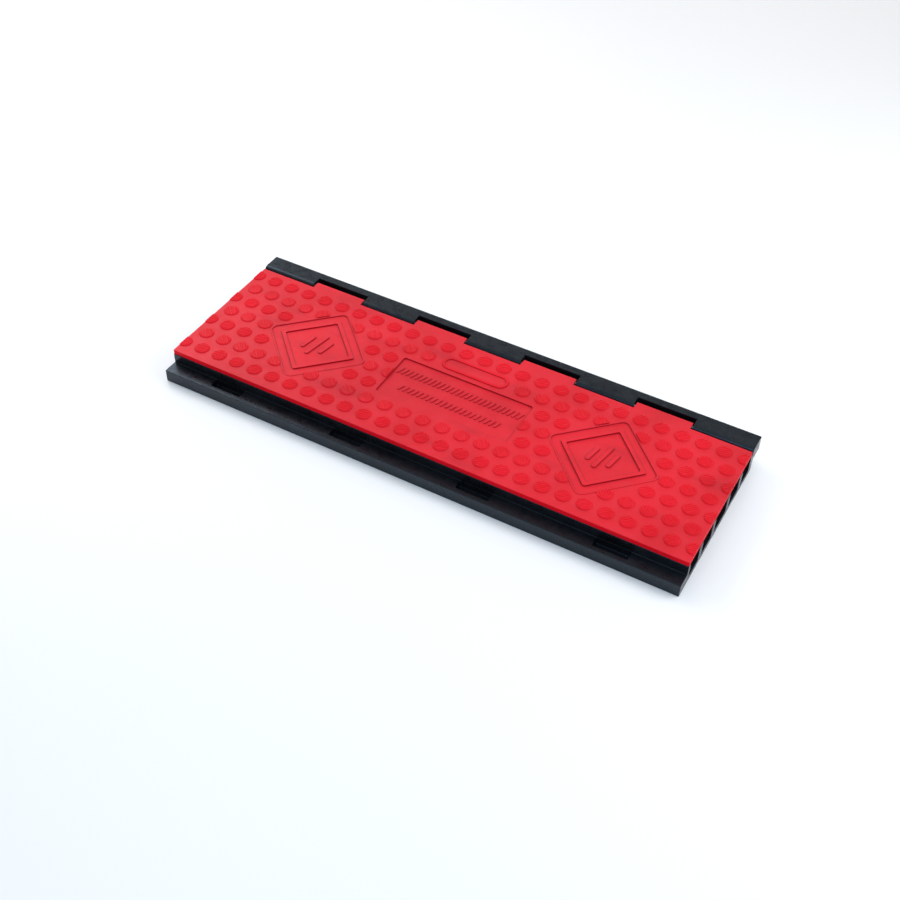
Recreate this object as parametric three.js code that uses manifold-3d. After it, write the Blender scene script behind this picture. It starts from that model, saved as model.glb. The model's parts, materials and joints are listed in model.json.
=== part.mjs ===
// Floor cable protector: the five-channel centre module, with its hinged lid.
// Millimetres, +Z up. X runs along the module, -Y is the front ledge, and the
// origin is the middle of the footprint, on the floor.

import * as THREE from 'three';
import * as BufferGeometryUtils from 'three/addons/utils/BufferGeometryUtils.js';
import Module from 'manifold-3d';

const wasm = await Module();
wasm.setup();

// Overall
const LENGTH = 900;
const HEIGHT = 50;

// Cable channels, five across, between the front wall and the back wall
const OUTER_CHANNEL = 36;
const INNER_CHANNEL = 39;
const MIDDLE_CHANNEL = 47;
const PARTITION = 12;
const FRONT_WALL = 8;
const BACK_WALL = 15;
const FLOOR = 9;
const CHANNEL_FILLET = 3;

// Lap joint with the neighbouring module: a low ledge in front, a raised flange behind
const LEDGE_DEPTH = 25;
const LEDGE_HEIGHT = 22;
const LAP_CLEARANCE = 0.5;
const LAP_HEADROOM = 2;

// Pockets in the ledge, and the lugs under the flange that fit a neighbour's pockets
const LUG_COUNT = 4;
const POCKET_WIDTH = 56;
const POCKET_RIM = 8;
const POCKET_DEPTH = 12;
const POCKET_CORNER = 2;
const LUG_SIDE_CLEARANCE = 1.5;
const LUG_FRONT_CLEARANCE = 1;

// Lid
const LID_THICKNESS = 8;
const LID_DROP = 2.5;
const LID_SEAT_GAP = 0.3;
const LID_END_GAP = 0.5;
const LID_REAR_GAP = 1.7;
const LID_CORNER = 1.5;

// Hinge along the back edge: odd segments are blocks of the base, even ones are tabs of the lid
const HINGE_SEGMENTS = 9;
const HINGE_INSET = 12;
const BARREL_RADIUS = 7;
const TAB_SIDE_GAP = 2.5;
const TAB_FLOOR_GAP = 1.5;
const TAB_BACK_GAP = 7.5;
const ROD_RADIUS = 3;
const ROD_CLEARANCE = 0.35;
const ROD_RECESS = 4;
const ROD_END_GAP = 0.5;
const BORE_CAP = 8;

// Sunk panel in the middle of the lid, and a sunk diamond with a raised frame on each side of it
const ARTWORK_SHIFT = 2.5;
const PANEL_WIDTH = 234;
const PANEL_HEIGHT = 92;
const PANEL_CORNER = 4;
const PANEL_DEPTH = 2.2;
const DIAMOND_HALF_DIAGONAL = 91;
const DIAMOND_CORNER = 10;
const DIAMOND_DEPTH = 1;
const DIAMOND_GAP = 49;
const FRAME_HALF_DIAGONAL = 71;
const FRAME_WIDTH = 6.4;
const FRAME_CORNER = 3;
const FRAME_RISE = 1;

// Studs on the lid: low pads in rows, every second row shifted by half a pitch
const STUD_PITCH = 34.3;
const STUD_ROW_PITCH = 34.5;
const STUD_TOP_RADIUS = 11.6;
const STUD_FOOT_RADIUS = 12.6;
const STUD_HEIGHT = 2;
const STUD_BORDER_GAP = 0.6;

// Raised outline of a pill between the panel and the back edge
const PILL_WIDTH = 117.4;
const PILL_HEIGHT = 29.4;
const PILL_BAR = 4.4;
const PILL_RISE = 1.2;
const PILL_GAP = 9.9;

// Surfaces
const RUBBER = { color: 0x33363b, roughness: 0.62, metalness: 0 };
const LID_RED = { color: 0xdc2f3d, roughness: 0.45, metalness: 0 };
const STEEL = { color: 0x9a9da1, roughness: 0.35, metalness: 0.9 };

// Places worked out from the sizes above
const CHANNEL_WIDTHS = [OUTER_CHANNEL, INNER_CHANNEL, MIDDLE_CHANNEL, INNER_CHANNEL, OUTER_CHANNEL];
const CHANNEL_SPAN = CHANNEL_WIDTHS.reduce((sum, width) => sum + width, 0)
  + PARTITION * (CHANNEL_WIDTHS.length - 1);
const FLANGE_REACH = LEDGE_DEPTH + LAP_CLEARANCE;
const DEPTH = LEDGE_DEPTH + FRONT_WALL + CHANNEL_SPAN + BACK_WALL + FLANGE_REACH;
const LEDGE_FRONT = -DEPTH / 2;
const WALL_FRONT = LEDGE_FRONT + LEDGE_DEPTH;
const CHANNELS_FRONT = WALL_FRONT + FRONT_WALL;
const CHANNELS_BACK = CHANNELS_FRONT + CHANNEL_SPAN;
const WALL_BACK = CHANNELS_BACK + BACK_WALL;
const FLANGE_BACK = DEPTH / 2;
const FLANGE_UNDERSIDE = LEDGE_HEIGHT + LAP_HEADROOM;

const LID_TOP = HEIGHT - LID_DROP;
const LID_UNDERSIDE = LID_TOP - LID_THICKNESS;
const WALL_TOP = LID_UNDERSIDE - LID_SEAT_GAP;
const AXIS_Y = CHANNELS_BACK + HINGE_INSET;
const AXIS_Z = HEIGHT - BARREL_RADIUS;
const LID_BACK = AXIS_Y - BARREL_RADIUS - LID_REAR_GAP;
const LID_LENGTH = LENGTH - 2 * LID_END_GAP;
const SEGMENT = LENGTH / HINGE_SEGMENTS;
const TAB_WIDTH = SEGMENT - 2 * TAB_SIDE_GAP;

const POCKET_LENGTH = LEDGE_DEPTH - POCKET_RIM;
const LUG_WIDTH = POCKET_WIDTH - 2 * LUG_SIDE_CLEARANCE;
const LUG_LENGTH = POCKET_LENGTH - LUG_FRONT_CLEARANCE - LAP_CLEARANCE;
const DIAMOND_X = PANEL_WIDTH / 2 + DIAMOND_GAP + DIAMOND_HALF_DIAGONAL;
const ARTWORK_Y = (WALL_FRONT + LID_BACK) / 2 + ARTWORK_SHIFT;
const PILL_Y = ARTWORK_Y + PANEL_HEIGHT / 2 + PILL_GAP + PILL_HEIGHT / 2;

// How far a cutting tool stands out past the face that it cuts, or sinks into what it joins
const OVERSHOOT = 1;
const ARC_STEPS = 6;
const STUD_SIDES = 8;

const HALF_PI = Math.PI / 2;

// Geometry helpers

function toSolid(geometry) {
  const bare = geometry.clone();
  bare.deleteAttribute('normal');
  bare.deleteAttribute('uv');
  const merged = BufferGeometryUtils.mergeVertices(bare, 1e-4);
  const mesh = new wasm.Mesh({
    numProp: 3,
    vertProperties: new Float32Array(merged.attributes.position.array),
    triVerts: new Uint32Array(merged.index.array),
  });
  return new wasm.Manifold(mesh);
}

function toGeometry(solid) {
  const mesh = solid.getMesh();
  const geometry = new THREE.BufferGeometry();
  geometry.setAttribute('position', new THREE.BufferAttribute(mesh.vertProperties, 3));
  geometry.setIndex(new THREE.BufferAttribute(mesh.triVerts, 1));
  geometry.computeVertexNormals();
  return geometry;
}

function extrude(shape, depth) {
  return new THREE.ExtrudeGeometry(shape, { depth, bevelEnabled: false, curveSegments: ARC_STEPS });
}

// A section drawn in Y and Z, run along X and centred on centreX
function alongLength(section, length, centreX = 0) {
  const geometry = extrude(section, length);
  geometry.translate(0, 0, -length / 2);
  const yAxis = new THREE.Vector3(0, 1, 0);
  const zAxis = new THREE.Vector3(0, 0, 1);
  const xAxis = new THREE.Vector3(1, 0, 0);
  geometry.applyMatrix4(new THREE.Matrix4().makeBasis(yAxis, zAxis, xAxis));
  geometry.translate(centreX, 0, 0);
  return toSolid(geometry);
}

// An outline drawn in X and Y, standing from bottom to top
function upright(outline, bottom, top, centreX = 0, centreY = 0) {
  const geometry = extrude(outline, top - bottom);
  geometry.translate(centreX, centreY, bottom);
  return toSolid(geometry);
}

function boxSolid(xMin, xMax, yMin, yMax, zMin, zMax) {
  const geometry = new THREE.BoxGeometry(xMax - xMin, yMax - yMin, zMax - zMin);
  geometry.translate((xMin + xMax) / 2, (yMin + yMax) / 2, (zMin + zMax) / 2);
  return toSolid(geometry);
}

function rodSolid(radius, xMin, xMax) {
  const section = new THREE.Shape();
  section.absarc(AXIS_Y, AXIS_Z, radius, 0, 2 * Math.PI, false);
  return alongLength(section, xMax - xMin, (xMin + xMax) / 2);
}

// A rectangle centred on the origin, with round corners
function roundedRectangle(width, height, radius) {
  const x = width / 2;
  const y = height / 2;
  const outline = new THREE.Shape();
  outline.moveTo(-x + radius, -y);
  outline.lineTo(x - radius, -y);
  outline.absarc(x - radius, -y + radius, radius, -HALF_PI, 0, false);
  outline.lineTo(x, y - radius);
  outline.absarc(x - radius, y - radius, radius, 0, HALF_PI, false);
  outline.lineTo(-x + radius, y);
  outline.absarc(-x + radius, y - radius, radius, HALF_PI, Math.PI, false);
  outline.lineTo(-x, -y + radius);
  outline.absarc(-x + radius, -y + radius, radius, Math.PI, 3 * HALF_PI, false);
  return outline;
}

// A square stood on its corner, with round corners
function diamondSolid(halfDiagonal, corner, bottom, top, centreX) {
  const side = halfDiagonal * Math.SQRT2;
  const geometry = extrude(roundedRectangle(side, side, corner), top - bottom);
  geometry.rotateZ(Math.PI / 4);
  geometry.translate(centreX, ARTWORK_Y, bottom);
  return toSolid(geometry);
}

function lugCentres() {
  const pitch = LENGTH / LUG_COUNT;
  return Array.from({ length: LUG_COUNT }, (_, index) => (index + 0.5) * pitch - LENGTH / 2);
}

function tabCentres() {
  const centres = [];
  for (let index = 1; index < HINGE_SEGMENTS; index += 2) {
    centres.push((index + 0.5) * SEGMENT - LENGTH / 2);
  }
  return centres;
}

// Base: one rubber moulding with channels, ledge, flange, hinge blocks and lugs

function baseSection() {
  const section = new THREE.Shape();
  section.moveTo(LEDGE_FRONT, 0);
  section.lineTo(WALL_BACK, 0);
  section.lineTo(WALL_BACK, FLANGE_UNDERSIDE);
  section.lineTo(FLANGE_BACK, FLANGE_UNDERSIDE);
  section.lineTo(FLANGE_BACK, HEIGHT);
  section.lineTo(AXIS_Y, HEIGHT);
  section.absarc(AXIS_Y, AXIS_Z, BARREL_RADIUS, HALF_PI, Math.PI, false);
  section.lineTo(AXIS_Y - BARREL_RADIUS, WALL_TOP);
  const filletTop = FLOOR + CHANNEL_FILLET;
  let channelBack = CHANNELS_BACK;
  for (const width of [...CHANNEL_WIDTHS].reverse()) {
    const channelFront = channelBack - width;
    section.lineTo(channelBack, WALL_TOP);
    section.lineTo(channelBack, filletTop);
    section.absarc(channelBack - CHANNEL_FILLET, filletTop, CHANNEL_FILLET, 0, -HALF_PI, true);
    section.lineTo(channelFront + CHANNEL_FILLET, FLOOR);
    section.absarc(channelFront + CHANNEL_FILLET, filletTop, CHANNEL_FILLET, -HALF_PI, -Math.PI, true);
    section.lineTo(channelFront, WALL_TOP);
    channelBack = channelFront - PARTITION;
  }
  section.lineTo(WALL_FRONT, WALL_TOP);
  section.lineTo(WALL_FRONT, LEDGE_HEIGHT);
  section.lineTo(LEDGE_FRONT, LEDGE_HEIGHT);
  return section;
}

function ledgePocket(centreX) {
  const outline = roundedRectangle(POCKET_WIDTH, POCKET_LENGTH, POCKET_CORNER);
  const centreY = WALL_FRONT - POCKET_LENGTH / 2;
  return upright(outline, LEDGE_HEIGHT - POCKET_DEPTH, LEDGE_HEIGHT + OVERSHOOT, centreX, centreY);
}

function flangeLug(centreX) {
  const outline = roundedRectangle(LUG_WIDTH, LUG_LENGTH, POCKET_CORNER);
  const centreY = FLANGE_BACK - LUG_LENGTH / 2;
  return upright(outline, FLANGE_UNDERSIDE - POCKET_DEPTH, FLANGE_UNDERSIDE + OVERSHOOT, centreX, centreY);
}

// The space that a lid tab turns in, open to the front and the top
function tabSlot(centreX) {
  return boxSolid(
    centreX - SEGMENT / 2,
    centreX + SEGMENT / 2,
    AXIS_Y - BARREL_RADIUS - LID_REAR_GAP,
    AXIS_Y + BARREL_RADIUS + TAB_BACK_GAP,
    AXIS_Z - BARREL_RADIUS - TAB_FLOOR_GAP,
    HEIGHT + OVERSHOOT,
  );
}

function makeBase() {
  let solid = alongLength(baseSection(), LENGTH);
  for (const centreX of lugCentres()) {
    solid = solid.subtract(ledgePocket(centreX));
    solid = solid.add(flangeLug(centreX));
  }
  for (const centreX of tabCentres()) {
    solid = solid.subtract(tabSlot(centreX));
  }
  const bore = rodSolid(ROD_RADIUS + ROD_CLEARANCE, -LENGTH / 2 - OVERSHOOT, LENGTH / 2 - BORE_CAP);
  return solid.subtract(bore);
}

// Lid: a plate with recesses and studs in its top, and tabs that turn on the rod

function tabSection() {
  const underAngle = Math.asin((AXIS_Z - LID_UNDERSIDE) / BARREL_RADIUS);
  const overAngle = Math.asin((LID_TOP - AXIS_Z) / BARREL_RADIUS);
  const section = new THREE.Shape();
  section.moveTo(LID_BACK - OVERSHOOT, LID_UNDERSIDE);
  section.lineTo(AXIS_Y - BARREL_RADIUS * Math.cos(underAngle), LID_UNDERSIDE);
  section.absarc(AXIS_Y, AXIS_Z, BARREL_RADIUS, Math.PI + underAngle, 2 * Math.PI + overAngle, false);
  section.lineTo(LID_BACK - OVERSHOOT, LID_TOP);
  return section;
}

function diamondRecess(centreX) {
  const bottom = LID_TOP - DIAMOND_DEPTH;
  const top = LID_TOP + OVERSHOOT;
  return diamondSolid(DIAMOND_HALF_DIAGONAL, DIAMOND_CORNER, bottom, top, centreX);
}

// The raised frame stands on the floor of its recess and rises above the lid
function diamondFrame(centreX) {
  const bottom = LID_TOP - DIAMOND_DEPTH - OVERSHOOT;
  const top = LID_TOP + FRAME_RISE;
  const innerHalfDiagonal = FRAME_HALF_DIAGONAL - FRAME_WIDTH * Math.SQRT2;
  const outside = diamondSolid(FRAME_HALF_DIAGONAL, FRAME_CORNER, bottom, top, centreX);
  const inside = diamondSolid(innerHalfDiagonal, FRAME_CORNER, bottom - OVERSHOOT, top + OVERSHOOT, centreX);
  return outside.subtract(inside);
}

// The middles of the studs; the panel, the pill and the diamonds have none
function studCentres() {
  const rowsBefore = Math.floor((ARTWORK_Y - WALL_FRONT - STUD_FOOT_RADIUS) / STUD_ROW_PITCH);
  const rowsBehind = Math.floor((LID_BACK - ARTWORK_Y - STUD_FOOT_RADIUS) / STUD_ROW_PITCH);
  const columns = Math.ceil(LID_LENGTH / 2 / STUD_PITCH);
  const centres = [];
  for (let row = -rowsBefore; row <= rowsBehind; row += 1) {
    const shift = row % 2 === 0 ? 0.5 : 0;
    for (let column = -columns; column < columns; column += 1) {
      const x = (column + shift) * STUD_PITCH;
      const acrossY = row * STUD_ROW_PITCH;
      const inPanel = Math.abs(x) < PANEL_WIDTH / 2 && Math.abs(acrossY) < PANEL_HEIGHT / 2;
      const nearPill = Math.abs(ARTWORK_Y + acrossY - PILL_Y) < STUD_ROW_PITCH / 2;
      const inPill = Math.abs(x) < PILL_WIDTH / 2 && nearPill;
      const inDiamond = Math.abs(Math.abs(x) - DIAMOND_X) + Math.abs(acrossY) < DIAMOND_HALF_DIAGONAL;
      if (!inPanel && !inPill && !inDiamond) {
        centres.push([x, ARTWORK_Y + acrossY]);
      }
    }
  }
  return centres;
}

// All the studs, cut short at the lid's ends and at the borders of the panel and the diamonds
function makeStuds() {
  const bottom = LID_TOP - OVERSHOOT;
  const top = LID_TOP + STUD_HEIGHT;
  const pads = studCentres().map(([x, y]) => {
    const pad = new THREE.CylinderGeometry(STUD_TOP_RADIUS, STUD_FOOT_RADIUS, top - bottom, STUD_SIDES);
    pad.rotateX(HALF_PI);
    pad.rotateZ(Math.PI / STUD_SIDES);
    pad.translate(x, y, (bottom + top) / 2);
    return pad;
  });
  const reach = LID_LENGTH / 2 - STUD_BORDER_GAP;
  const lowest = bottom - OVERSHOOT;
  const highest = top + OVERSHOOT;
  const panelWidth = PANEL_WIDTH + 2 * STUD_BORDER_GAP;
  const panel = roundedRectangle(panelWidth, PANEL_HEIGHT, PANEL_CORNER);
  const diamondReach = DIAMOND_HALF_DIAGONAL + STUD_BORDER_GAP * Math.SQRT2;
  let studs = toSolid(BufferGeometryUtils.mergeGeometries(pads));
  studs = studs.intersect(boxSolid(-reach, reach, WALL_FRONT, LID_BACK, lowest, highest));
  studs = studs.subtract(upright(panel, lowest, highest, 0, ARTWORK_Y));
  for (const centreX of [-DIAMOND_X, DIAMOND_X]) {
    studs = studs.subtract(diamondSolid(diamondReach, DIAMOND_CORNER, lowest, highest, centreX));
  }
  return studs;
}

function makePill() {
  const bottom = LID_TOP - OVERSHOOT;
  const top = LID_TOP + PILL_RISE;
  const innerWidth = PILL_WIDTH - 2 * PILL_BAR;
  const innerHeight = PILL_HEIGHT - 2 * PILL_BAR;
  const outside = upright(roundedRectangle(PILL_WIDTH, PILL_HEIGHT, PILL_HEIGHT / 2), bottom, top, 0, PILL_Y);
  const inside = roundedRectangle(innerWidth, innerHeight, innerHeight / 2);
  return outside.subtract(upright(inside, bottom - OVERSHOOT, top + OVERSHOOT, 0, PILL_Y));
}

function makeLid() {
  const plate = roundedRectangle(LID_LENGTH, LID_BACK - WALL_FRONT, LID_CORNER);
  let solid = upright(plate, LID_UNDERSIDE, LID_TOP, 0, (WALL_FRONT + LID_BACK) / 2);
  for (const centreX of tabCentres()) {
    solid = solid.add(alongLength(tabSection(), TAB_WIDTH, centreX));
  }
  const panel = roundedRectangle(PANEL_WIDTH, PANEL_HEIGHT, PANEL_CORNER);
  solid = solid.subtract(upright(panel, LID_TOP - PANEL_DEPTH, LID_TOP + OVERSHOOT, 0, ARTWORK_Y));
  for (const centreX of [-DIAMOND_X, DIAMOND_X]) {
    solid = solid.subtract(diamondRecess(centreX));
    solid = solid.add(diamondFrame(centreX));
  }
  solid = solid.add(makeStuds()).add(makePill());
  return solid.subtract(rodSolid(ROD_RADIUS + ROD_CLEARANCE, -LENGTH / 2, LENGTH / 2));
}

// Hinge rod: pushed in from the open end of the bore, short of the closed one

function makeRod() {
  const farEnd = LENGTH / 2 - BORE_CAP - ROD_END_GAP;
  return rodSolid(ROD_RADIUS, -LENGTH / 2 + ROD_RECESS, farEnd);
}

function namedMesh(name, solid, look) {
  const mesh = new THREE.Mesh(toGeometry(solid), new THREE.MeshStandardMaterial(look));
  mesh.name = name;
  return mesh;
}

const protector = new THREE.Group();
protector.name = 'floor_cable_protector';
protector.add(namedMesh('base', makeBase(), RUBBER));
protector.add(namedMesh('lid', makeLid(), LID_RED));
protector.add(namedMesh('hinge_rod', makeRod(), STEEL));

export default protector;
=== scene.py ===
"""Floor cable protector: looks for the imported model.

Shapes are worked out in millimetres, in the row frame of the CAD: X along the channels,
Y from the low front ledge to the raised back flange, Z up. They become metres at the end.
"""

import json
import math

import bmesh
import bpy
from mathutils import Matrix, Vector


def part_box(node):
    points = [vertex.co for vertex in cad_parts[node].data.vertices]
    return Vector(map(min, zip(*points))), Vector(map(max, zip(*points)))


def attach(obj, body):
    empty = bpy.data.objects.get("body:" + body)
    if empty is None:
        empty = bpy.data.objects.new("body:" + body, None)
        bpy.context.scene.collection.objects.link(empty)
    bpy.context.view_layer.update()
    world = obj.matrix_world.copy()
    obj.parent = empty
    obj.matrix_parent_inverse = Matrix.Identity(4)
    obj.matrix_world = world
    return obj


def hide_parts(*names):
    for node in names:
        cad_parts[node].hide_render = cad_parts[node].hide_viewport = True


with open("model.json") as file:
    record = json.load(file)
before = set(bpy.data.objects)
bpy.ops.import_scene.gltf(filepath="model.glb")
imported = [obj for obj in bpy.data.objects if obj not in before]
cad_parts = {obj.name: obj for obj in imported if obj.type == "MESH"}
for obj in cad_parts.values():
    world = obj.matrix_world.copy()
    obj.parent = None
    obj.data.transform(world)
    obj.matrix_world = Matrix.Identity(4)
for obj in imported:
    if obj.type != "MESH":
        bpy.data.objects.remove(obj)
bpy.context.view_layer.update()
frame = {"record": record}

METRES = 0.001


def millimetres(place):
    return Vector([round(value / METRES, 3) for value in place])


# Camera: the photograph's viewpoint, and the frame that it was solved in
CAMERA_AZIMUTH = math.radians(28.06)
CAMERA_ELEVATION = math.radians(44.40)
CAMERA_ROLL = math.radians(1.79)
CAMERA_DISTANCE = 2040
CAMERA_TARGET = (28.6, -65.3, 0)
FOCAL_PIXELS = 1307.4
IMAGE_PIXELS = 900
SENSOR_WIDTH = 36.0
CAMERA_CLIP_END = 100

# Extents of the CAD nodes
base_low, base_high = (millimetres(corner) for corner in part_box("base"))
lid_low, lid_high = (millimetres(corner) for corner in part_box("lid"))
rod_low, rod_high = (millimetres(corner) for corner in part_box("hinge_rod"))

# Hinge: the joint's axis, and the knuckles that turn round it
AXIS_Y, AXIS_Z = millimetres(frame["record"]["behaviour"]["joints"][0]["pos_m"]).yz
BARREL_RADIUS = base_high.z - AXIS_Z
HINGE_INSET = 12
HINGE_SEGMENTS = 9
SEGMENT = (base_high.x - base_low.x) / HINGE_SEGMENTS
TAB_SIDE_GAP = 2.5
TAB_FLOOR_GAP = 1.5
TAB_BACK_GAP = 7.5
ROD_CLEARANCE = 0.35
ROD_RADIUS = (rod_high.z - rod_low.z) / 2
BORE_CAP = 8

# Base
CHANNEL_WIDTHS = (36, 39, 47, 39, 36)
PARTITION = 12
BACK_WALL = 15
FLOOR = 9
CHANNEL_FILLET = 3
LEDGE_DEPTH = 25
LEDGE_HEIGHT = 22
LAP_HEADROOM = 2
LUG_COUNT = 4
LUG_WIDTH = 53
LUG_LENGTH = 15.5
POCKET_WIDTH = 56
POCKET_LENGTH = 17
POCKET_DEPTH = 12
POCKET_CORNER = 2
WALL_FRONT = base_low.y + LEDGE_DEPTH
CHANNELS_BACK = AXIS_Y - HINGE_INSET
WALL_BACK = CHANNELS_BACK + BACK_WALL
FLANGE_UNDERSIDE = LEDGE_HEIGHT + LAP_HEADROOM
SLOT_FLOOR = AXIS_Z - BARREL_RADIUS - TAB_FLOOR_GAP
SLOT_BACK = AXIS_Y + BARREL_RADIUS + TAB_BACK_GAP

# Lid
LID_DROP = 2.5
LID_THICKNESS = 8
LID_SEAT_GAP = 0.3
LID_REAR_GAP = 1.7
LID_CORNER = 1.5
LID_TOP = base_high.z - LID_DROP
LID_UNDERSIDE = LID_TOP - LID_THICKNESS
LID_BACK = AXIS_Y - BARREL_RADIUS - LID_REAR_GAP
WALL_TOP = LID_UNDERSIDE - LID_SEAT_GAP
TAB_WIDTH = SEGMENT - 2 * TAB_SIDE_GAP

# Sunk panel and framed diamonds, laid out on one line along the lid
ARTWORK_Y = -3.6
PANEL_WIDTH = 234
PANEL_HEIGHT = 92
PANEL_CORNER = 4
PANEL_DEPTH = 2.2
DIAMOND_HALF_DIAGONAL = 91
DIAMOND_CORNER = 10
DIAMOND_DEPTH = 1
BEAD_WIDTH = 2.4
BEAD_RISE = 0.7
DIAMOND_GAP = 49
DIAMOND_X = PANEL_WIDTH / 2 + DIAMOND_GAP + DIAMOND_HALF_DIAGONAL
DIAMOND_PLACES = (-DIAMOND_X, DIAMOND_X)
FRAME_HALF_DIAGONAL = 71
FRAME_WIDTH = 6.4
FRAME_CORNER = 3
FRAME_RISE = 1

# Studs: seven rows, every second one shifted by half a pitch and turned a quarter
STUD_PITCH = 34.3
STUD_ROW_PITCH = 34.5
STUD_ROWS = 7
STUD_REACH = 13
STUD_RADIUS = 11.9
STUD_HEIGHT = 2.0
STUD_SINK = 0.4
RIB_PITCH = 4.4
GROOVES = 5
GROOVE_WIDTH = 2.2
GROOVE_SLOPE = 0.8
GROOVE_DEPTH = 0.55
RIB_TURNS = (225, 135)
# A stud this near to the line through a diamond's side points is left whole
DIAMOND_POINT = 1

# Pill outline behind the panel
PILL_WIDTH = 113
PILL_HEIGHT = 25
PILL_BAR = 4.4
PILL_RISE = 1.2
PILL_Y = 67

# Grip bars: (shift back, length, span, count) of each row in the panel, and (shift, length) in a diamond
PANEL_BAR_ROWS = ((17.5, 17, 216, 27), (-18, 15, 172, 21))
PANEL_BAR_ANGLE = 70
PANEL_BAR_WIDTH = 3.2
PANEL_BAR_RISE = 1.4
DIAMOND_BARS = ((-17, 34), (0, 56), (17, 34))
DIAMOND_BAR_ANGLE = 80
DIAMOND_BAR_WIDTH = 6.5
DIAMOND_BAR_RISE = 1.8

# Moulded edges: corners in an outline are a little rounder than the edges at its ends
CORNER = 0.8
EDGE = 0.7
LID_EDGE = 0.6
FINE_EDGE = 0.35

# How finely arcs are divided, and the angle from which an edge is shaded as a sharp one
EDGE_STEPS = 3
CORNER_STEPS = 5
CIRCLE_STEPS = 32
BLOCK_STEPS = 8
TAB_STEPS = 16
BAR_STEPS = 6
PILL_STEPS = 14
SHARP_ANGLE = math.radians(35)

# How far a tool stands out past what it cuts, and a part sinks into what it joins
OVERSHOOT = 1
OVERLAP = 6

# Looks: colours, painted shade that darkens corners (in the same colour as the dirt smears), how open
# corners are, and how steep a wall is
RUBBER_DEEP = (0.0024, 0.0027, 0.0034)
RUBBER_BRIGHT = (0.0052, 0.0060, 0.0078)
RUBBER_SCUFF = (0.022, 0.023, 0.026)
RUBBER_SHEEN = (0.60, 0.79, 1.0)
RUBBER_IOR = 1.47
STEEL_DARK = (0.10, 0.10, 0.11)
STEEL_BRIGHT = (0.19, 0.19, 0.20)
# The two dirt colours serve both for dirt in smears and for painted shade in the lid's corners
PLATE_DIRT_AND_SHADE = (0.20, 0.003, 0.008)
STUD_DIRT_AND_SHADE = (0.24, 0.003, 0.010)
SHADE_REACH = 4
SHADE_LOWEST = LID_TOP - 2 * PANEL_DEPTH
TIGHT_CORNER = 0.45
OPEN_CORNER = 0.95
WALL_LEAN = 0.5

# Stage
FLOOR_REACH = 30000
FLOOR_DROP = 0.2
FLOOR_DEEP = (0.93, 0.925, 0.925)
FLOOR_BRIGHT = (0.945, 0.94, 0.94)
WORLD_STRENGTH = 0.48
WHITE = (1.0, 1.0, 1.0)
WARM_WHITE = (1.0, 0.99, 0.98)
COOL_WHITE = (0.96, 0.98, 1.0)
SKY_BLUE = (0.54, 0.76, 1.0)


# Outlines and closed solids


def corner_path(corners):
    """(point, outward normal) pairs round an outline of (x, y, radius) corners, anticlockwise."""
    path = []
    places = [Vector(corner[:2]) for corner in corners]
    for index, here in enumerate(places):
        radius = corners[index][2]
        before = (here - places[index - 1]).normalized()
        after = (places[(index + 1) % len(places)] - here).normalized()
        turn = math.atan2(before.cross(after), before.dot(after))
        side = math.copysign(1, turn)
        first_normal = Vector((before.y, -before.x))
        centre = here - before * radius * math.tan(abs(turn) / 2) - first_normal * side * radius
        for step in range(CORNER_STEPS + 1):
            normal = Matrix.Rotation(turn * step / CORNER_STEPS, 2) @ first_normal
            path.append((centre + normal * side * radius, normal))
    return path


def arc_path(centre, radius, start, end, steps):
    """The same pairs along one arc, with its angles in degrees."""
    path = []
    for step in range(steps + 1):
        angle = math.radians(start + (end - start) * step / steps)
        normal = Vector((math.cos(angle), math.sin(angle)))
        path.append((Vector(centre) + normal * radius, normal))
    return path


def arc_and_corners(arc, corners):
    """An outline of an arc and of the corners that lead from its end back to its start."""
    ends = [(*arc[-1][0], CORNER), (*arc[0][0], CORNER)]
    straight = corner_path([ends[0], *corners, ends[1]])
    each = CORNER_STEPS + 1
    return arc + straight[each:-each]


def circle_path(centre, radius):
    return arc_path(centre, radius, 0, 360, CIRCLE_STEPS)[:-1]


def rectangle(width, length, radius, centre=(0, 0)):
    x, y = centre
    half_x = width / 2
    half_y = length / 2
    return corner_path([
        (x - half_x, y - half_y, radius),
        (x + half_x, y - half_y, radius),
        (x + half_x, y + half_y, radius),
        (x - half_x, y + half_y, radius),
    ])


def diamond(half_diagonal, radius, centre):
    x, y = centre
    return corner_path([
        (x, y - half_diagonal, radius),
        (x + half_diagonal, y, radius),
        (x, y + half_diagonal, radius),
        (x - half_diagonal, y, radius),
    ])


def stadium(width, height, steps, centre=(0, 0)):
    x, y = centre
    run = (width - height) / 2
    right = arc_path((x + run, y), height / 2, -90, 90, steps)
    return right + arc_path((x - run, y), height / 2, 90, 270, steps)


def quarter_turn():
    return [math.pi / 2 * step / EDGE_STEPS for step in range(EDGE_STEPS + 1)]


def soft_foot(bottom, radius):
    """(offset, height) levels of a rounded lower edge."""
    levels = []
    for angle in quarter_turn():
        levels.append((radius * (math.sin(angle) - 1), bottom + radius * (1 - math.cos(angle))))
    return levels


def soft_head(top, radius):
    """(offset, height) levels of a rounded upper edge."""
    return [(offset, 2 * top - height) for offset, height in reversed(soft_foot(top, radius))]


def flared_rim(top, radius):
    """Levels at the mouth of a cutting tool, which leave a rounded rim in the face that it cuts."""
    levels = []
    for angle in quarter_turn():
        levels.append((radius * (1 - math.cos(angle)), top - radius * (1 - math.sin(angle))))
    levels.append((radius, top + OVERSHOOT))
    return levels


def soft_run(length, radius):
    return soft_foot(0, radius) + soft_head(length, radius)


def along_x(start):
    """Stands an outline that is drawn in Y and Z at x = start, to be run along X."""
    return Matrix(((0, 0, 1, start), (1, 0, 0, 0), (0, 1, 0, 0), (0, 0, 0, 1)))


def rings_of(bm, path, levels, place):
    rings = []
    for offset, height in levels:
        ring = []
        for point, normal in path:
            spot = point + normal * offset
            ring.append(bm.verts.new(place @ Vector((spot.x, spot.y, height))))
        rings.append(ring)
    return rings


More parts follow.
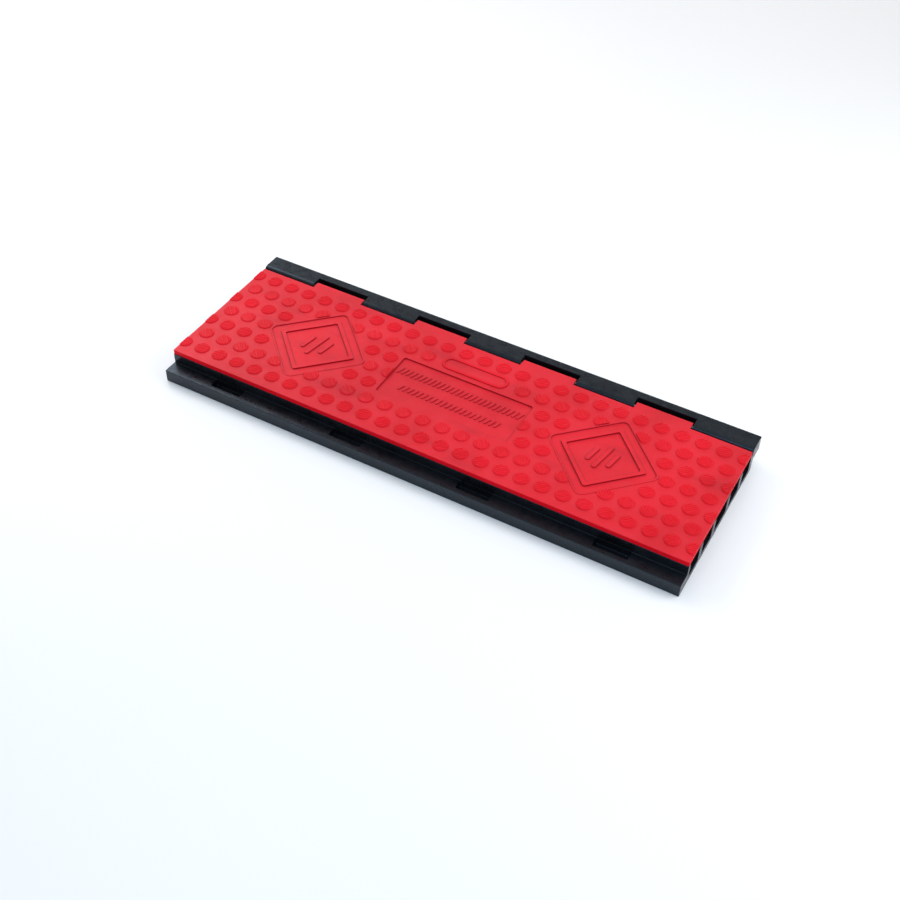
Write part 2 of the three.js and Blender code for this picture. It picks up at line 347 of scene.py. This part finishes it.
def join_rings(bm, rings):
    for lower, upper in zip(rings, rings[1:]):
        for index in range(len(lower)):
            after = (index + 1) % len(lower)
            bm.faces.new((lower[index], lower[after], upper[after], upper[index]))


def add_solid(bm, path, levels, place=Matrix()):
    """A closed solid: the outline at each level, from the bottom up, with flat ends."""
    rings = rings_of(bm, path, levels, place)
    join_rings(bm, rings)
    bm.faces.new(rings[-1])
    bm.faces.new(list(reversed(rings[0])))


def add_band(bm, path, profile):
    """A closed band along an outline; its (offset, height) profile runs round the band's section."""
    rings = rings_of(bm, path, profile, Matrix())
    join_rings(bm, rings + rings[:1])


def working_object(name, bm):
    bmesh.ops.recalc_face_normals(bm, faces=bm.faces[:])
    mesh = bpy.data.meshes.new(name)
    bm.to_mesh(mesh)
    bm.free()
    obj = bpy.data.objects.new(name, mesh)
    bpy.context.scene.collection.objects.link(obj)
    return obj


def combine(target, operation, bm):
    """Joins the target with a tool, or cuts it, and uses the tool up."""
    tool = working_object("tool", bm)
    modifier = target.modifiers.new("combine", "BOOLEAN")
    modifier.operation = operation
    modifier.solver = "EXACT"
    modifier.object = tool
    graph = bpy.context.evaluated_depsgraph_get()
    mesh = bpy.data.meshes.new_from_object(target.evaluated_get(graph))
    target.modifiers.clear()
    target.data = mesh
    bpy.data.objects.remove(tool)


def finish_piece(obj, body, material):
    """Turns a working object into a piece of the model, in metres and smoothly shaded."""
    mesh = obj.data
    mesh.transform(Matrix.Scale(METRES, 4))
    mesh.polygons.foreach_set("use_smooth", [True] * len(mesh.polygons))
    mesh.set_sharp_from_angle(angle=SHARP_ANGLE)
    mesh.materials.clear()
    mesh.materials.append(material)
    weights = obj.modifiers.new("weighted_normals", "WEIGHTED_NORMAL")
    weights.keep_sharp = True
    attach(obj, body)


def paint_walls(obj, material):
    """Gives a piece's upright faces their own material, since no dust lies on them."""
    obj.data.materials.append(material)
    for face in obj.data.polygons:
        if abs(face.normal.z) < WALL_LEAN:
            face.material_index = 1


# Materials


class Look:
    """A material's node tree, with short ways to add and link nodes."""

    def __init__(self, name):
        self.material = bpy.data.materials.new(name)
        self.material.use_nodes = True
        self.tree = self.material.node_tree
        self.shader = self.tree.nodes["Principled BSDF"]
        self.place = self.tree.nodes.new("ShaderNodeTexCoord").outputs["Object"]

    def link(self, source, target):
        self.tree.links.new(source, target)

    def noise(self, size, detail=4.0, stretch=(1, 1, 1)):
        """Cloudy noise whose patches are about this many millimetres across."""
        mapping = self.tree.nodes.new("ShaderNodeMapping")
        mapping.inputs["Scale"].default_value = stretch
        self.link(self.place, mapping.inputs["Vector"])
        node = self.tree.nodes.new("ShaderNodeTexNoise")
        node.inputs["Scale"].default_value = 1 / (size * METRES)
        node.inputs["Detail"].default_value = detail
        self.link(mapping.outputs["Vector"], node.inputs["Vector"])
        return node.outputs["Fac"]

    def remap(self, value, low, high, to_low=0.0, to_high=1.0):
        node = self.tree.nodes.new("ShaderNodeMapRange")
        limits = {"From Min": low, "From Max": high, "To Min": to_low, "To Max": to_high}
        for name, number in limits.items():
            node.inputs[name].default_value = number
        self.link(value, node.inputs["Value"])
        return node.outputs["Result"]

    def mix(self, factor, first, second):
        node = self.tree.nodes.new("ShaderNodeMix")
        node.data_type = "RGBA"
        self.link(factor, node.inputs[0])
        for socket, value in ((node.inputs[6], first), (node.inputs[7], second)):
            if isinstance(value, tuple):
                socket.default_value = (*value, 1.0)
            else:
                self.link(value, socket)
        return node.outputs[2]

    def bump(self, height, distance, before=None):
        """Surface relief of this many millimetres, on top of any other bump."""
        node = self.tree.nodes.new("ShaderNodeBump")
        node.inputs["Distance"].default_value = distance * METRES
        self.link(height, node.inputs["Height"])
        if before is not None:
            self.link(before, node.inputs["Normal"])
        return node.outputs["Normal"]

    def painted_corner_shade(self):
        """How much painted shade darkens the corners of the lid's upper side, found by ambient occlusion.
        """
        node = self.tree.nodes.new("ShaderNodeAmbientOcclusion")
        node.inputs["Distance"].default_value = SHADE_REACH * METRES
        corners = self.remap(node.outputs["AO"], TIGHT_CORNER, OPEN_CORNER, 1.0, 0.0)
        split = self.tree.nodes.new("ShaderNodeSeparateXYZ")
        self.link(self.place, split.inputs["Vector"])
        above = self.remap(split.outputs["Z"], SHADE_LOWEST * METRES, (SHADE_LOWEST + 1) * METRES)
        product = self.tree.nodes.new("ShaderNodeMath")
        product.operation = "MULTIPLY"
        self.link(corners, product.inputs[0])
        self.link(above, product.inputs[1])
        return product.outputs["Value"]

    def finish(self, colour, roughness, normal):
        self.link(colour, self.shader.inputs["Base Color"])
        self.link(roughness, self.shader.inputs["Roughness"])
        self.link(normal, self.shader.inputs["Normal"])
        return self.material


def red_look(name, deep, bright, dust, dirt_and_shade, gloss):
    """Moulded polyurethane: cloudy, with a film of dust, dirt in smears, and painted shade in corners."""
    look = Look(name)
    look.shader.inputs["Specular IOR Level"].default_value = gloss
    cloud = look.remap(look.noise(110, 3.0), 0.35, 0.65)
    colour = look.mix(cloud, deep, bright)
    film = look.remap(look.noise(28, 6.0), 0.48, 0.75, 0.0, 0.5)
    colour = look.mix(film, colour, dust)
    smear = look.remap(look.noise(45, 5.0, (0.35, 1.0, 1.0)), 0.55, 0.72, 0.0, 0.25)
    colour = look.mix(smear, colour, dirt_and_shade)
    # Painted shade: corners found by ambient occlusion are darkened toward the dirt colour
    colour = look.mix(look.painted_corner_shade(), colour, dirt_and_shade)
    roughness = look.remap(look.noise(16, 5.0), 0.3, 0.7, 0.44, 0.58)
    waves = look.bump(look.noise(30, 2.0), 0.5)
    grain = look.bump(look.noise(1.2, 3.0), 0.06, waves)
    return look.finish(colour, roughness, grain)


def rubber_look():
    """Moulded rubber: cloudy, with pale scuffs and a cool sheen."""
    look = Look("black_rubber")
    look.shader.inputs["IOR"].default_value = RUBBER_IOR
    look.shader.inputs["Specular Tint"].default_value = (*RUBBER_SHEEN, 1.0)
    cloud = look.remap(look.noise(70, 5.0), 0.35, 0.65)
    colour = look.mix(cloud, RUBBER_DEEP, RUBBER_BRIGHT)
    scuff = look.remap(look.noise(9, 8.0, (0.25, 1.0, 1.0)), 0.60, 0.82, 0.0, 0.5)
    colour = look.mix(scuff, colour, RUBBER_SCUFF)
    roughness = look.remap(look.noise(12, 6.0), 0.3, 0.7, 0.22, 0.40)
    waves = look.bump(look.noise(22, 3.0), 0.35)
    grain = look.bump(look.noise(1.6, 4.0), 0.13, waves)
    return look.finish(colour, roughness, grain)


def steel_look():
    """Drawn steel: fine lines along the rod."""
    look = Look("drawn_steel")
    look.shader.inputs["Metallic"].default_value = 1.0
    drawn = look.noise(2.5, 3.0, (0.02, 1.0, 1.0))
    colour = look.mix(look.remap(drawn, 0.35, 0.65), STEEL_DARK, STEEL_BRIGHT)
    roughness = look.remap(drawn, 0.3, 0.7, 0.32, 0.50)
    return look.finish(colour, roughness, look.bump(drawn, 0.02))


PLATE_RED = red_look(
    "red_lid_plate",
    deep=(0.61, 0.008, 0.019),
    bright=(0.74, 0.010, 0.025),
    dust=(0.67, 0.020, 0.035),
    dirt_and_shade=PLATE_DIRT_AND_SHADE,
    gloss=0.28,
)
STUD_RED = red_look(
    "red_lid_stud",
    deep=(0.67, 0.004, 0.013),
    bright=(0.80, 0.006, 0.019),
    dust=(0.73, 0.010, 0.023),
    dirt_and_shade=STUD_DIRT_AND_SHADE,
    gloss=0.14,
)
WALL_RED = red_look(
    "red_lid_wall",
    deep=(0.60, 0.001, 0.008),
    bright=(0.72, 0.002, 0.012),
    dust=(0.66, 0.004, 0.014),
    dirt_and_shade=PLATE_DIRT_AND_SHADE,
    gloss=0.06,
)
RUBBER = rubber_look()
STEEL = steel_look()


# Base: one rubber moulding with channels, ledge, flange, hinge blocks and lugs


def base_section():
    """The section that runs the whole length, without the hinge blocks."""
    corners = [
        (base_low.y, 0, CORNER),
        (WALL_BACK, 0, CORNER),
        (WALL_BACK, FLANGE_UNDERSIDE, CORNER),
        (base_high.y, FLANGE_UNDERSIDE, CORNER),
        (base_high.y, base_high.z, CORNER),
        (SLOT_BACK, base_high.z, CORNER),
        (SLOT_BACK, SLOT_FLOOR, CORNER),
        (LID_BACK, SLOT_FLOOR, CORNER),
        (LID_BACK, WALL_TOP, CORNER),
    ]
    back = CHANNELS_BACK
    for width in reversed(CHANNEL_WIDTHS):
        corners.append((back, WALL_TOP, CORNER))
        corners.append((back, FLOOR, CHANNEL_FILLET))
        corners.append((back - width, FLOOR, CHANNEL_FILLET))
        corners.append((back - width, WALL_TOP, CORNER))
        back -= width + PARTITION
    corners.append((WALL_FRONT, WALL_TOP, CORNER))
    corners.append((WALL_FRONT, LEDGE_HEIGHT, CORNER))
    corners.append((base_low.y, LEDGE_HEIGHT, CORNER))
    return corner_path(corners)


def block_section():
    """A hinge block: the barrel's front, the wall top before it, and a flat top that joins the flange."""
    barrel = arc_path((AXIS_Y, AXIS_Z), BARREL_RADIUS, 90, 180, BLOCK_STEPS)
    wall_middle = (CHANNELS_BACK + LID_BACK) / 2
    return arc_and_corners(barrel, [
        (AXIS_Y - BARREL_RADIUS, WALL_TOP, CORNER),
        (wall_middle, WALL_TOP, CORNER),
        (wall_middle, SLOT_FLOOR - OVERLAP, CORNER),
        (SLOT_BACK + OVERLAP, SLOT_FLOOR - OVERLAP, CORNER),
        (SLOT_BACK + OVERLAP, base_high.z, CORNER),
    ])


def spread(count):
    """The middles of equal stretches of the base."""
    pitch = (base_high.x - base_low.x) / count
    return [base_low.x + (index + 0.5) * pitch for index in range(count)]


def make_base():
    length = base_high.x - base_low.x
    body = bmesh.new()
    add_solid(body, base_section(), soft_run(length, EDGE), along_x(base_low.x))
    base = working_object("base_moulding", body)

    blocks = bmesh.new()
    for centre in spread(HINGE_SEGMENTS)[::2]:
        add_solid(blocks, block_section(), soft_run(SEGMENT, EDGE), along_x(centre - SEGMENT / 2))
    combine(base, "UNION", blocks)

    lugs = bmesh.new()
    for centre in spread(LUG_COUNT):
        middle = (centre, base_high.y - LUG_LENGTH / 2)
        outline = rectangle(LUG_WIDTH, LUG_LENGTH, POCKET_CORNER, middle)
        levels = soft_foot(FLANGE_UNDERSIDE - POCKET_DEPTH, EDGE)
        add_solid(lugs, outline, levels + [(0, FLANGE_UNDERSIDE + OVERLAP)])
    combine(base, "UNION", lugs)

    pockets = bmesh.new()
    for centre in spread(LUG_COUNT):
        middle = (centre, WALL_FRONT - POCKET_LENGTH / 2)
        outline = rectangle(POCKET_WIDTH, POCKET_LENGTH, POCKET_CORNER, middle)
        levels = soft_foot(LEDGE_HEIGHT - POCKET_DEPTH, EDGE)
        add_solid(pockets, outline, levels + flared_rim(LEDGE_HEIGHT, FINE_EDGE))
    combine(base, "DIFFERENCE", pockets)

    bore = bmesh.new()
    circle = circle_path((AXIS_Y, AXIS_Z), ROD_RADIUS + ROD_CLEARANCE)
    add_solid(bore, circle, [(0, 0), (0, length - BORE_CAP + OVERSHOOT)], along_x(base_low.x - OVERSHOOT))
    combine(base, "DIFFERENCE", bore)

    finish_piece(base, "base", RUBBER)
    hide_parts("base")


# Lid: a plate with tabs that turn on the rod, a sunk panel and framed diamonds


def tab_section():
    """A hinge tab: a knuckle round the rod, and a root that runs into the plate."""
    under = math.degrees(math.asin((AXIS_Z - LID_UNDERSIDE) / BARREL_RADIUS))
    over = math.degrees(math.asin((LID_TOP - AXIS_Z) / BARREL_RADIUS))
    knuckle = arc_path((AXIS_Y, AXIS_Z), BARREL_RADIUS, 180 + under, 360 + over, TAB_STEPS)
    return arc_and_corners(knuckle, [
        (LID_BACK - OVERLAP, LID_TOP, CORNER),
        (LID_BACK - OVERLAP, LID_UNDERSIDE, CORNER),
    ])


def make_frames():
    """Ridges that stand on the floors of the diamonds and rise above the lid."""
    foot = LID_TOP - DIAMOND_DEPTH - STUD_SINK
    top = LID_TOP + FRAME_RISE
    ridges = bmesh.new()
    openings = bmesh.new()
    for x in DIAMOND_PLACES:
        outside = diamond(FRAME_HALF_DIAGONAL, FRAME_CORNER, (x, ARTWORK_Y))
        inside = diamond(FRAME_HALF_DIAGONAL - FRAME_WIDTH * math.sqrt(2), FRAME_CORNER, (x, ARTWORK_Y))
        add_solid(ridges, outside, [(0, foot)] + soft_head(top, FINE_EDGE))
        add_solid(openings, inside, [(0, foot - OVERSHOOT)] + flared_rim(top, FINE_EDGE))
    frames = working_object("frames", ridges)
    combine(frames, "DIFFERENCE", openings)
    made = bmesh.new()
    made.from_mesh(frames.data)
    bpy.data.objects.remove(frames)
    return made


def make_lid():
    width = lid_high.x - lid_low.x
    plate = bmesh.new()
    outline = rectangle(width, LID_BACK - WALL_FRONT, LID_CORNER, (0, (LID_BACK + WALL_FRONT) / 2))
    add_solid(plate, outline, soft_foot(LID_UNDERSIDE, LID_EDGE) + soft_head(LID_TOP, LID_EDGE))
    lid = working_object("lid_moulding", plate)

    tabs = bmesh.new()
    for centre in spread(HINGE_SEGMENTS)[1::2]:
        add_solid(tabs, tab_section(), soft_run(TAB_WIDTH, LID_EDGE), along_x(centre - TAB_WIDTH / 2))
    combine(lid, "UNION", tabs)

    recesses = bmesh.new()
    panel = rectangle(PANEL_WIDTH, PANEL_HEIGHT, PANEL_CORNER, (0, ARTWORK_Y))
    levels = soft_foot(LID_TOP - PANEL_DEPTH, FINE_EDGE) + flared_rim(LID_TOP, FINE_EDGE)
    add_solid(recesses, panel, levels)
    for x in DIAMOND_PLACES:
        field = diamond(DIAMOND_HALF_DIAGONAL, DIAMOND_CORNER, (x, ARTWORK_Y))
        add_solid(recesses, field, [(0, LID_TOP - DIAMOND_DEPTH), (0, LID_TOP + OVERSHOOT)])
    combine(lid, "DIFFERENCE", recesses)
    combine(lid, "UNION", make_frames())

    bore = bmesh.new()
    circle = circle_path((AXIS_Y, AXIS_Z), ROD_RADIUS + ROD_CLEARANCE)
    add_solid(bore, circle, [(0, 0), (0, width)], along_x(lid_low.x))
    combine(lid, "DIFFERENCE", bore)

    finish_piece(lid, "lid", PLATE_RED)
    paint_walls(lid, WALL_RED)
    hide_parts("lid")


# Studs: round pads with parallel ribs


def rib_angles():
    """(angle, drop) pairs along the right half of a stud: the top drops into each groove."""
    half = GROOVE_WIDTH / 2
    floor = half - GROOVE_SLOPE
    walls = ((-half, 0), (-floor, GROOVE_DEPTH), (floor, GROOVE_DEPTH), (half, 0))
    middles = [(index - (GROOVES - 1) / 2) * RIB_PITCH for index in range(GROOVES)]
    pairs = []
    for middle in middles:
        pairs += [(math.asin((middle + across) / STUD_RADIUS), drop) for across, drop in walls]
    pairs += [(math.asin((left + right) / 2 / STUD_RADIUS), 0) for left, right in zip(middles, middles[1:])]
    last = max(angle for angle, _ in pairs)
    cap_steps = 4
    for step in range(1, cap_steps):
        angle = last + (math.pi / 2 - last) * step / cap_steps
        pairs += [(angle, 0), (-angle, 0)]
    return sorted(pairs)


STUD_SIDE = rib_angles()
# (radius, height, share of the groove's depth) from the foot of a stud to its top
STUD_LEVELS = (
    (STUD_RADIUS + 1.1, -STUD_SINK, 0.0),
    (STUD_RADIUS + 0.9, 0.02, 0.0),
    (STUD_RADIUS + 0.35, 0.25, 0.0),
    (STUD_RADIUS, 0.8, 0.0),
    (STUD_RADIUS - 0.35, STUD_HEIGHT - 0.6, 0.3),
    (STUD_RADIUS - 0.85, STUD_HEIGHT - 0.2, 0.8),
    (STUD_RADIUS - 1.5, STUD_HEIGHT, 1.0),
)


def add_strips(bm, ring, flip):
    """Closes a stud's ring by strips from its right half to its left half."""
    half = len(ring) // 2
    right = ring[:half + 1]
    left = [ring[0]] + ring[:half - 1:-1]
    for index in range(half):
        strip = [right[index], right[index + 1], left[index + 1], left[index]]
        corners = list(dict.fromkeys(strip))
        if flip:
            corners.reverse()
        bm.faces.new(corners)


def add_stud(bm, centre, turn):
    """One closed stud: a foot that runs into the plate, a wall, a soft rim and a ribbed top."""
    outline = [(-math.pi / 2, 0)] + STUD_SIDE + [(math.pi / 2, 0)]
    outline += [(math.pi - angle, drop) for angle, drop in reversed(STUD_SIDE)]
    rings = []
    for radius, height, share in STUD_LEVELS:
        ring = []
        for angle, drop in outline:
            spot = Vector((math.cos(angle + turn), math.sin(angle + turn), 0)) * radius
            ring.append(bm.verts.new(centre + spot + Vector((0, 0, height - share * drop))))
        rings.append(ring)
    join_rings(bm, rings)
    add_strips(bm, rings[-1], False)
    add_strips(bm, rings[0], True)


def clip(bm, point, normal):
    """Cuts away what lies on the normal's side of a plane and closes the cut."""
    everything = bm.verts[:] + bm.edges[:] + bm.faces[:]
    cut = bmesh.ops.bisect_plane(bm, geom=everything, plane_co=point, plane_no=normal, clear_outer=True)
    edges = [item for item in cut["geom_cut"] if isinstance(item, bmesh.types.BMEdge)]
    if edges:
        bmesh.ops.edgeloop_fill(bm, edges=edges)


def stud_cuts(x, y):
    """The planes that cut a stud at (x, y) short, or None where the lid has no stud."""
    side = math.copysign(1, x)
    cuts = []
    if abs(x) + STUD_REACH > lid_high.x - LID_EDGE:
        cuts.append((Vector((side * (lid_high.x - LID_EDGE), 0, 0)), Vector((side, 0, 0))))
    if abs(y - ARTWORK_Y) < PANEL_HEIGHT / 2:
        if abs(x) < PANEL_WIDTH / 2:
            return None
        if abs(x) - STUD_REACH < PANEL_WIDTH / 2:
            cuts.append((Vector((side * (PANEL_WIDTH / 2 + LID_EDGE), 0, 0)), Vector((-side, 0, 0))))
    if abs(x) < PILL_WIDTH / 2 and abs(y - PILL_Y) < STUD_ROW_PITCH / 2:
        return None
    across_x = x - side * DIAMOND_X
    across_y = y - ARTWORK_Y
    outside = (abs(across_x) + abs(across_y) - DIAMOND_HALF_DIAGONAL) / math.sqrt(2)
    if outside < 0:
        return None
    if outside < STUD_REACH and abs(across_y) > DIAMOND_POINT:
        away = Vector((math.copysign(1, across_x), math.copysign(1, across_y), 0)).normalized()
        cuts.append((Vector((x, y, 0)) - away * (outside - BEAD_WIDTH), -away))
    return cuts


def make_studs(name, parity):
    studs = bmesh.new()
    turn = math.radians(RIB_TURNS[parity])
    columns = math.ceil(lid_high.x / STUD_PITCH)
    for row in range(parity, STUD_ROWS, 2):
        y = ARTWORK_Y + (row - (STUD_ROWS - 1) / 2) * STUD_ROW_PITCH
        for column in range(-columns, columns + 1):
            x = (column + parity / 2) * STUD_PITCH
            cuts = stud_cuts(x, y) if abs(x) < lid_high.x else None
            if cuts is None:
                continue
            stud = bmesh.new()
            add_stud(stud, Vector((x, y, LID_TOP)), turn)
            for point, normal in cuts:
                clip(stud, point, normal)
            part = bpy.data.meshes.new("stud")
            stud.to_mesh(part)
            stud.free()
            studs.from_mesh(part)
            bpy.data.meshes.remove(part)
    piece = working_object(name, studs)
    finish_piece(piece, "lid", STUD_RED)
    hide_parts("lid")


# Plain raised relief: the pill outline, the beads and the grip bars


def bar_levels(floor_z, rise):
    foot = [(FINE_EDGE, floor_z - STUD_SINK), (0, floor_z + FINE_EDGE)]
    return foot + soft_head(floor_z + rise, FINE_EDGE)


def add_bar(bm, centre, angle, length, width, floor_z, rise):
    place = Matrix.Translation((*centre, 0)) @ Matrix.Rotation(math.radians(angle), 4, "Z")
    add_solid(bm, stadium(length, width, BAR_STEPS), bar_levels(floor_z, rise), place)


def add_ridge(bm, path, width, rise):
    """A ridge on the plate along a closed outline."""
    outer = [(width / 2 + offset, height) for offset, height in bar_levels(LID_TOP, rise)]
    inner = [(-offset, height) for offset, height in reversed(outer)]
    add_band(bm, path, outer + inner)


def make_pill():
    bm = bmesh.new()
    add_ridge(bm, stadium(PILL_WIDTH, PILL_HEIGHT, PILL_STEPS, (0, PILL_Y)), PILL_BAR, PILL_RISE)
    pill = working_object("pill_outline", bm)
    finish_piece(pill, "lid", STUD_RED)
    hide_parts("lid")


def make_diamond_beads():
    """A thin bead round each sunk diamond, flush with its wall."""
    bm = bmesh.new()
    for x in DIAMOND_PLACES:
        path = diamond(DIAMOND_HALF_DIAGONAL, DIAMOND_CORNER, (x, ARTWORK_Y))
        middle = [(point + normal * BEAD_WIDTH / 2, normal) for point, normal in path]
        add_ridge(bm, middle, BEAD_WIDTH, BEAD_RISE)
    finish_piece(working_object("diamond_beads", bm), "lid", PLATE_RED)


def make_panel_bars():
    """Two rows of slanted grip bars in the sunk panel."""
    bm = bmesh.new()
    floor_z = LID_TOP - PANEL_DEPTH
    for shift, length, span, count in PANEL_BAR_ROWS:
        for index in range(count):
            centre = ((index / (count - 1) - 0.5) * span, ARTWORK_Y + shift)
            add_bar(bm, centre, PANEL_BAR_ANGLE, length, PANEL_BAR_WIDTH, floor_z, PANEL_BAR_RISE)
    finish_piece(working_object("panel_grip_bars", bm), "lid", PLATE_RED)


def make_diamond_bars():
    """Three slanted bars inside each diamond's frame."""
    bm = bmesh.new()
    floor_z = LID_TOP - DIAMOND_DEPTH
    for middle in DIAMOND_PLACES:
        for shift, length in DIAMOND_BARS:
            centre = (middle + shift, ARTWORK_Y)
            add_bar(bm, centre, DIAMOND_BAR_ANGLE, length, DIAMOND_BAR_WIDTH, floor_z, DIAMOND_BAR_RISE)
    finish_piece(working_object("diamond_grip_bars", bm), "lid", PLATE_RED)


# Hinge rod: a drawn bar with rounded ends


def make_rod():
    bm = bmesh.new()
    circle = circle_path((AXIS_Y, AXIS_Z), ROD_RADIUS)
    add_solid(bm, circle, soft_run(rod_high.x - rod_low.x, FINE_EDGE), along_x(rod_low.x))
    rod = working_object("drawn_rod", bm)
    finish_piece(rod, "base", STEEL)
    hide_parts("hinge_rod")


make_base()
make_lid()
make_studs("studs_odd_rows", 0)
make_studs("studs_even_rows", 1)
make_pill()
make_diamond_beads()
make_panel_bars()
make_diamond_bars()
make_rod()


# Stage: pale floor, soft studio light and the camera


def make_floor():
    corners = []
    bm = bmesh.new()
    for x, y in ((-1, -1), (1, -1), (1, 1), (-1, 1)):
        corners.append(bm.verts.new((x * FLOOR_REACH, y * FLOOR_REACH, -FLOOR_DROP)))
    bm.faces.new(corners)
    floor = working_object("floor", bm)
    floor.data.transform(Matrix.Scale(METRES, 4))
    look = Look("pale_floor")
    colour = look.mix(look.noise(400, 2.0), FLOOR_DEEP, FLOOR_BRIGHT)
    look.link(colour, look.shader.inputs["Base Color"])
    look.shader.inputs["Roughness"].default_value = 0.7
    floor.data.materials.append(look.material)


def add_area_light(name, place, size, watts, colour):
    """A card of light at a place in metres, turned to the middle of the model."""
    light = bpy.data.lights.new(name, "AREA")
    light.shape = "RECTANGLE"
    light.size, light.size_y = size
    light.energy = watts
    light.color = colour
    obj = bpy.data.objects.new(name, light)
    bpy.context.scene.collection.objects.link(obj)
    obj.location = place
    obj.rotation_euler = (-Vector(place)).to_track_quat("-Z", "Y").to_euler()


def make_world():
    world = bpy.data.worlds.new("studio")
    bpy.context.scene.world = world
    world.use_nodes = True
    background = world.node_tree.nodes["Background"]
    background.inputs["Color"].default_value = (*WHITE, 1.0)
    background.inputs["Strength"].default_value = WORLD_STRENGTH


def make_camera():
    data = bpy.data.cameras.new("photo_view")
    data.sensor_width = SENSOR_WIDTH
    data.lens = SENSOR_WIDTH * FOCAL_PIXELS / IMAGE_PIXELS
    data.clip_end = CAMERA_CLIP_END
    camera = bpy.data.objects.new("photo_view", data)
    bpy.context.scene.collection.objects.link(camera)
    level = math.cos(CAMERA_ELEVATION)
    away = Vector((
        math.sin(CAMERA_AZIMUTH) * level,
        -math.cos(CAMERA_AZIMUTH) * level,
        math.sin(CAMERA_ELEVATION),
    ))
    place = (Vector(CAMERA_TARGET) + away * CAMERA_DISTANCE) * METRES
    turn = (-away).to_track_quat("-Z", "Y").to_matrix().to_4x4()
    camera.matrix_world = Matrix.Translation(place) @ turn @ Matrix.Rotation(CAMERA_ROLL, 4, "Z")
    bpy.context.scene.camera = camera


make_floor()
make_world()
add_area_light("overhead", place=(0.0, 0.9, 2.9), size=(1.8, 1.2), watts=5, colour=WARM_WHITE)
add_area_light("right_card", place=(1.45, 0.55, 1.05), size=(1.2, 1.0), watts=15, colour=COOL_WHITE)
add_area_light("left_card", place=(-1.45, 0.4, 1.05), size=(1.2, 1.0), watts=15, colour=COOL_WHITE)
add_area_light("back_card", place=(-0.9, 3.3, 0.9), size=(2.6, 0.9), watts=18, colour=WHITE)
add_area_light("front_card", place=(0.7, -1.9, 2.3), size=(2.0, 1.2), watts=30, colour=SKY_BLUE)
make_camera()
bpy.context.scene.view_settings.view_transform = "Standard"

bpy.context.view_layer.update()
